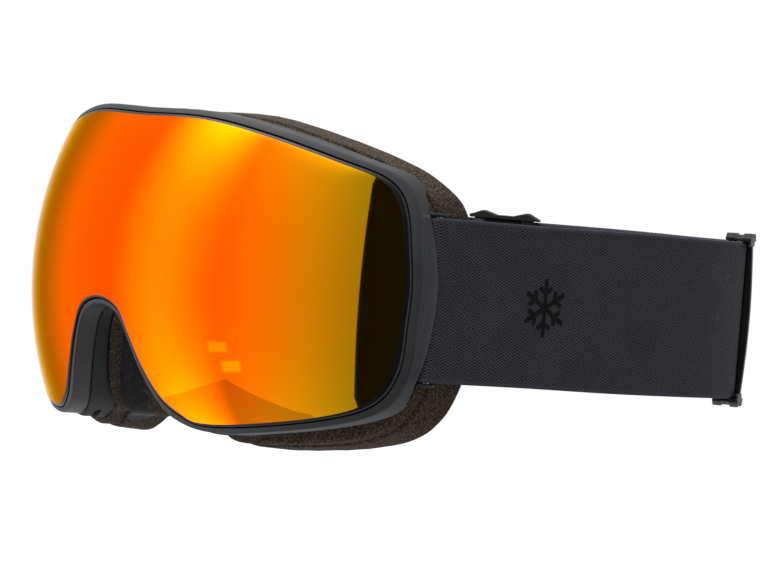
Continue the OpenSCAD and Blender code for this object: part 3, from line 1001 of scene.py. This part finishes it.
def strap_return(name, node, flip):
    """The inner layer, from the fold back to the slider."""
    side = arc(SIDE_CX, BAR_Y, SIDE_R - LOOP_GAP, 0, SIDE_ANGLE, 34)
    rear = arc(0, REAR_Y, REAR_R - LOOP_GAP, SIDE_ANGLE, RETURN_END, 22)
    path, outs = join_paths(side, rear)
    verts, faces, uv = sweep(path, outs, strap_section(0.66, STRAP_H - 0.25))
    start = np.array([*side[0][-1], 0.0])
    end = np.array([*rear[0][-1], 0.0])
    if flip:
        verts, start, end = mirrored(verts), mirrored(start), mirrored(end)
    obj = finish_piece(name, verts, faces, None, ELASTIC, [node], uv)
    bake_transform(obj)


def strap_loop():
    """The return layer's end, turned round the slider's inner bar and sewn to itself."""
    r = 1.25
    turn = arc(BAR_AT, -BAR_PITCH, r, 0, 180, 11)
    tail = np.array([(-4.35, -10.0), (-3.75, -11.2), (-3.6, -13.0), (-3.62, -16.5)])
    tail_out = np.array([(-1.0, 0.0), (-0.85, -0.5), (-1.0, 0.0), (-1.0, 0.0)])
    lead = np.array([(-3.0, -16.5), (-2.9, -13.5), (-2.5, -10.6), (-2.36, -8.9)])
    lead_out = unit(np.array([(1.0, 0.0), (1.0, 0.02), (1.0, -0.1), (1.0, -0.05)]))
    path = np.concatenate([lead, turn[0], tail])
    outs = np.concatenate([lead_out, turn[1], unit(tail_out)])
    return sweep(path, outs, strap_section(0.42, 23.5))


def stitches():
    """Two rows of thread across the sewn end."""
    parts = []
    for y in (-12.6, -14.8):
        for k in range(20):
            z = -21.5 + k * 43.0 / 19
            parts.append(block((-4.35, y - 0.16, z - 0.75), (-3.95, y + 0.16, z + 0.75), 0.14, 2))
    return joined(parts)


def rail_profile(share):
    """A slider rail seen along the strap's outward direction: two blunt peaks, at a share of their height."""
    low = 1.25
    peak = (low + 1.15) * share
    low *= share
    return [(-11.0, 0.0), (-11.0, low * 0.85), (-9.6, low * 1.15), (-7.5, peak), (-6.4, peak), (-2.6, low),
            (2.6, low), (6.4, peak), (7.5, peak), (9.8, low), (11.0, low * 0.5), (11.0, 0.0)]


def slider_body():
    """Two rails with a ridge along each side, one outer bar, and two inner bars."""
    foot = STRAP_H + 0.14
    parts = []
    for side in (-1, 1):
        for x_in, x_out, share in ((0.0, 2.6, 1.0), (-3.4, 1.0, 0.78), (-5.2, -2.4, 0.94)):
            polygon = [(y, side * (foot + z)) for y, z in rail_profile(share)]
            parts.append(prism(polygon, 0, x_in, x_out, 0.7 if share > 0.6 else 0.15, 4))
    top = foot + 1.0
    bowed = [(0.93, -top), (2.3, -top)]
    bowed += [(2.3 + 1.0 * math.cos(math.pi / 2 * k / 8), (top - 0.4) * k / 8) for k in range(-8, 9)]
    bowed += [(2.3, top), (0.93, top)]
    parts.append(prism(bowed, 1, -2.3, 2.3, 0.5, 3))
    parts.append(block((-4.15, -BAR_PITCH - 1.4, -top), (-3.05, -BAR_PITCH + 1.4, top), 0.45, 3))
    parts.append(block((-4.15, BAR_PITCH - 1.4, -top), (-3.05, BAR_PITCH + 1.4, top), 0.45, 3))
    for side in (-1, 1):
        low, high = sorted((side * (foot - 1.6), side * (foot + 0.6)))
        parts.append(block((0.95, -8.5, low), (2.4, 8.5, high), 0.6, 4))
        for y in (-BAR_PITCH, BAR_PITCH):
            parts.append(block((-4.45, y - 1.9, low), (-2.85, y + 1.9, high), 0.5, 3))
    return joined(parts)


for side_name, flip in (("right", False), ("left", True)):
    body = f"slider_{side_name}"
    strap_return(f"strap_return_{side_name}_layer", f"strap_return_{side_name}", flip)
    v, f, uv = strap_loop()
    v = from_slider(v)
    v = mirrored(v) if flip else v
    finish_piece(f"strap_end_{side_name}_loop", v, f, body, ELASTIC,
                 [f"strap_end_{side_name}"], uv)
    v, f = stitches()
    v = from_slider(v)
    v = mirrored(v) if flip else v
    finish_piece(f"stitching_{side_name}", v, f, body, THREAD)
    v, f = slider_body()
    v = from_slider(v)
    v = mirrored(v) if flip else v
    finish_piece(f"slider_{side_name}_frame", v, f, body, ACETAL, [body])


def grip_lines():
    parts = []
    path, out = arc(0, REAR_Y, REAR_R - STRAP_T, 30, 150, 90)
    for row in (-1, 0, 1):
        middle = row * GRIP_PITCH
        section = [(0.02, 1.5), (-0.16, 1.42), (-0.27, 1.0), (-0.3, 0.0), (-0.27, -1.0), (-0.16, -1.42), (0.02, -1.5)]
        v, f, _ = sweep(path, out, [(o, z + middle) for o, z in section])
        parts.append((v, f))
    v, f = joined(parts)
    finish_piece("strap_grip_lines", v, f, "goggles", SILICONE, ["strap_grip"])


grip_lines()


# ---------------------------------------------------------------- stage, light and camera

def stage_material(name, colour, strength):
    g = Graph(name)
    g.set(Base_Color=(*grey(colour), 1.0), Roughness=0.9, Emission_Color=(1.0, 1.0, 1.0, 1.0),
          Emission_Strength=strength)
    return g.material


def floor():
    bm = bmesh.new()
    bmesh.ops.create_circle(bm, cap_ends=True, radius=6.0, segments=96)
    mesh = bpy.data.meshes.new("floor")
    bm.to_mesh(mesh)
    bm.free()
    obj = bpy.data.objects.new("floor", mesh)
    obj.location.z = -0.25
    bpy.context.scene.collection.objects.link(obj)
    mesh.materials.append(stage_material("floor_pale", 0.0, 1.0))
    obj.visible_glossy = False
    obj.visible_diffuse = False


def card_material(name, strength, fall_u, fall_v, ends=0.0, cover=1.0, one_sided=False):
    """A card whose light or shade fades towards its edges; ends makes its top and foot brighter than its middle.

    The falls are shares of its half width and height, and a one-sided card only fades on its left.
    """
    g = Graph(name)
    split = g.node("ShaderNodeSeparateXYZ", {"Vector": g.coords.outputs["Generated"]})
    shares = []
    for axis, fall in (("X", fall_u), ("Y", fall_v)):
        off = g.math("MULTIPLY", g.math("SUBTRACT", split.outputs[axis], 0.5), 2.0)
        if axis == "X" and one_sided:
            off = g.math("MULTIPLY", off, -1.0)
        else:
            off = g.math("ABSOLUTE", off)
        inside = g.math("DIVIDE", g.math("SUBTRACT", 1.0, off), max(fall, 0.01))
        made = g.node("ShaderNodeMapRange", {"Value": inside}, interpolation_type="SMOOTHSTEP")
        shares.append(made.outputs["Result"])
    both = g.math("MULTIPLY", g.math("MULTIPLY", shares[0], shares[1]), cover)
    g.tree.nodes.remove(g.shader)
    lift = g.math("ADD", g.math("MULTIPLY", g.math("MULTIPLY", off, off), ends), 1.0)
    light = g.node("ShaderNodeEmission", {"Strength": g.math("MULTIPLY", lift, strength)})
    clear = g.node("ShaderNodeBsdfTransparent")
    mixed = g.node("ShaderNodeMixShader", {0: both, 1: clear.outputs[0], 2: light.outputs[0]})
    g.tree.links.new(mixed.outputs[0], g.tree.nodes["Material Output"].inputs["Surface"])
    return g.material


def direction(azimuth, elevation):
    """The way to a place round the object: azimuth 0 is in front of the lens, 90 is on its right (+X)."""
    a, e = math.radians(azimuth), math.radians(elevation)
    return Vector((math.sin(a) * math.cos(e), -math.cos(a) * math.cos(e), math.sin(e)))


def card(name, azimuth, elevation, distance, width, height, material, glossy_only=False):
    mesh = bpy.data.meshes.new(name)
    w, h = width / 2, height / 2
    mesh.from_pydata([(-w, -h, 0), (w, -h, 0), (w, h, 0), (-w, h, 0)], [], [(0, 1, 2, 3)])
    mesh.materials.append(material)
    obj = bpy.data.objects.new(name, mesh)
    bpy.context.scene.collection.objects.link(obj)
    way = direction(azimuth, elevation)
    obj.location = Vector((0, 0.03, 0)) + way * distance
    obj.rotation_euler = way.to_track_quat("Z", "Y").to_euler()
    obj.visible_camera = False
    obj.visible_shadow = False
    obj.visible_transmission = False
    if glossy_only:
        obj.visible_diffuse = False
    return obj


def table_shade():
    """The dim table top under the goggles, seen in the lens's foot as a wedge with its peak in the middle."""
    rim = [(-2.0, -28.6), (28.0, -40.0), (62.0, -58.0), (-82.0, -45.0), (-31.0, -31.0)]
    points = [direction(az, el) * TABLE_AT for az, el in rim] + [direction(0.0, -89.0) * TABLE_AT]
    mesh = bpy.data.meshes.new("shade_table")
    count = len(rim)
    mesh.from_pydata(points, [], [(k, (k + 1) % count, count) for k in range(count)])
    mesh.materials.append(card_material("shade_table", 0.0, 0.0, 0.0, cover=0.36))
    obj = bpy.data.objects.new("shade_table", mesh)
    bpy.context.scene.collection.objects.link(obj)
    obj.visible_camera = False
    obj.visible_shadow = False
    obj.visible_transmission = False
    obj.visible_diffuse = False


TABLE_AT = 1.3


def black_material():
    g = Graph("card_black")
    g.set(Base_Color=(*grey(0.0), 1.0), Roughness=1.0, Specular_IOR_Level=0.0,
          Emission_Color=(1.0, 1.0, 1.0, 1.0), Emission_Strength=0.011)
    return g.material


def lights():
    world = bpy.data.worlds.new("studio")
    world.use_nodes = True
    world.node_tree.nodes["Background"].inputs["Color"].default_value = (1.0, 1.0, 1.0, 1.0)
    tree = world.node_tree
    path = tree.nodes.new("ShaderNodeLightPath")
    fill = tree.nodes.new("ShaderNodeMath")
    fill.operation = "MULTIPLY_ADD"
    tree.links.new(path.outputs["Is Diffuse Ray"], fill.inputs[0])
    fill.inputs[1].default_value = -0.5
    fill.inputs[2].default_value = 1.0
    tree.links.new(fill.outputs[0], tree.nodes["Background"].inputs["Strength"])
    bpy.context.scene.world = world
    card("card_top", -15, 68, 1.6, 3.2, 1.7, card_material("light_top", 6.0, 1.0, 0.9))
    card("card_left", -25, 3, 1.7, 1.5, 4.4, card_material("light_left", 2.8, 1.0, 0.25, ends=2.5))
    card("card_black", 74, 0, 1.5, 1.75, 6.0, black_material(), glossy_only=True)
    card("shade_right", 27, 0, 1.75, 1.5, 6.0,
         card_material("shade_right", 0.0, 2.0, 0.05, cover=0.62, one_sided=True), glossy_only=True)
    card("shade_left", -95, 0, 1.6, 1.5, 4.0, card_material("shade_left", 0.0, 1.0, 0.3, cover=0.55),
         glossy_only=True)
    table_shade()
    card("window_1", -3, -19, 1.45, 0.20, 0.09, card_material("light_window", 4.0, 0.4, 0.4, cover=0.42),
         glossy_only=True)
    card("window_2", 1, -24.5, 1.45, 0.20, 0.10, bpy.data.materials["light_window"], glossy_only=True)


def camera():
    """The reference view: 54 degrees round to the right, level, leaning 4.8 degrees, from two metres."""
    back = direction(54.4, 1.0)
    level = Vector((math.cos(math.radians(54.4)), math.sin(math.radians(54.4)), 0.0))
    upright = back.cross(level)
    roll = math.radians(4.8)
    right = math.cos(roll) * level + math.sin(roll) * upright
    up = -math.sin(roll) * level + math.cos(roll) * upright
    apex = Vector((0.0, lens_low.y, 0.0))
    place = apex + 2.0 * back
    aim = apex + 0.0839 * right - 0.0057 * up
    depth = (place - aim).normalized()
    side = up.cross(depth).normalized()
    over = depth.cross(side)
    data = bpy.data.cameras.new("camera")
    data.lens = 319.0
    data.sensor_width = 36.0
    obj = bpy.data.objects.new("camera", data)
    bpy.context.scene.collection.objects.link(obj)
    turn = Matrix((side, over, depth)).transposed()
    obj.matrix_world = Matrix.Translation(place) @ turn.to_4x4()
    bpy.context.scene.camera = obj


floor()
lights()
camera()
bpy.context.scene.view_settings.view_transform = "Standard"
